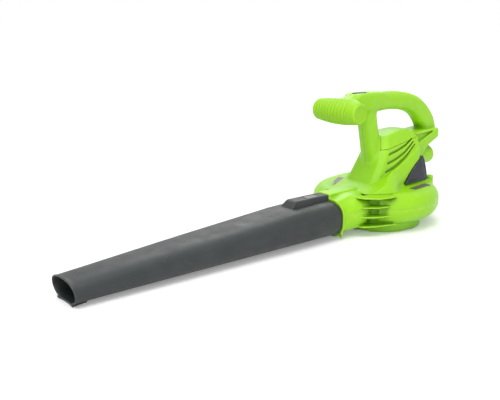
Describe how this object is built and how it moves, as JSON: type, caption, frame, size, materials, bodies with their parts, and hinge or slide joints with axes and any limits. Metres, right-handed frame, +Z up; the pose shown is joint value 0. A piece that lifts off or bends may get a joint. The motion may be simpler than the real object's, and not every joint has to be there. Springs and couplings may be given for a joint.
{
  "type": "leaf blower",
  "caption": "Corded leaf blower: round fan housing on its intake collar, motor tower, loop handle with front cross grip, and a long flat clip-on blower tube.",
  "frame": {"origin": "motor axis at the plane of the intake collar's foot, which the blower stands on", "axes": "+Z up along the motor shaft; -X towards the tube's mouth; -Y is the side of the blower's right hand"},
  "size_m": [0.7806, 0.2299, 0.241],
  "materials": {
    "green_housing": "fine moulded texture, semi-gloss",
    "green_grip": "moulded, ribbed, semi-gloss",
    "tube_plastic": "fine grained blow-moulded plastic",
    "button_plastic": "satin",
    "panel_plastic": "fine texture, satin",
    "black_plastic": "gloss",
    "label_plate": "satin, blank",
    "screw_steel": "black oxide",
    "bright_steel": "turned",
    "lamination_steel": "stacked sheet",
    "bearing_bronze": "sintered",
    "copper": "enamelled or turned copper",
    "brush_brass": "pressed sheet",
    "carbon": "matt",
    "fan_plastic": "satin glass-filled plastic",
    "capacitor_film": "gloss",
    "wire_sleeve": "satin"
  },
  "bodies": {
    "root": {"fan_housing_lower": "green_housing", "fan_housing_upper": "green_housing", "intake_grille": "green_housing", "grille_screws": "screw_steel", "housing_screws": "screw_steel", "motor_tower": "green_housing", "motor_cap": "green_housing", "side_panel_right": "panel_plastic", "side_panel_left": "panel_plastic", "handle_right": "green_housing", "handle_left": "green_housing", "handle_screws": "screw_steel", "front_grip": "green_grip", "grip_caps": "green_grip", "switch_bezel": "black_plastic", "switch_module": "black_plastic", "inlet_housing": "green_housing", "inlet_insert": "black_plastic", "inlet_pins": "bright_steel", "stator_core": "lamination_steel", "field_coils": "copper", "motor_base": "bright_steel", "motor_bridge": "bright_steel", "motor_bolts": "bright_steel", "lower_bearing": "bearing_bronze", "upper_bearing": "bearing_bronze", "brush_holders": "brush_brass", "carbon_brushes": "carbon", "brush_springs": "bright_steel", "suppressor": "capacitor_film", "lead_wires": "wire_sleeve", "label_plates": "label_plate"},
    "rotor": {"motor_shaft": "bright_steel", "armature_core": "lamination_steel", "armature_windings": "copper", "commutator": "copper", "cooling_fan": "fan_plastic", "fan_wheel": "fan_plastic", "fan_nut": "bright_steel"},
    "rocker": {"switch_rocker": "black_plastic"},
    "tube": {"blower_tube": "tube_plastic"},
    "latch": {"latch_button": "button_plastic", "latch_spring": "bright_steel"}
  },
  "joints": [
    {"name": "rotor_spin", "type": "hinge", "parent": "root", "child": "rotor", "pos_m": [0, 0, 0.08], "axis": [0, 0, 1], "continuous": true},
    {"name": "rocker_tip", "type": "hinge", "parent": "root", "child": "rocker", "pos_m": [-0.055, 0, 0.236], "axis": [0, 1, 0], "range_deg": [0, 22]},
    {"name": "tube_slide", "type": "slide", "parent": "root", "child": "tube", "axis": [-1, 0, 0], "range_m": [0, 0.3]},
    {"name": "latch_press", "type": "slide", "parent": "root", "child": "latch", "axis": [0, 0, -1], "range_m": [0, 0.0035], "stiffness_N_per_m": 900, "springref_m": -0.002, "deforming": ["latch_spring"]}
  ]
}
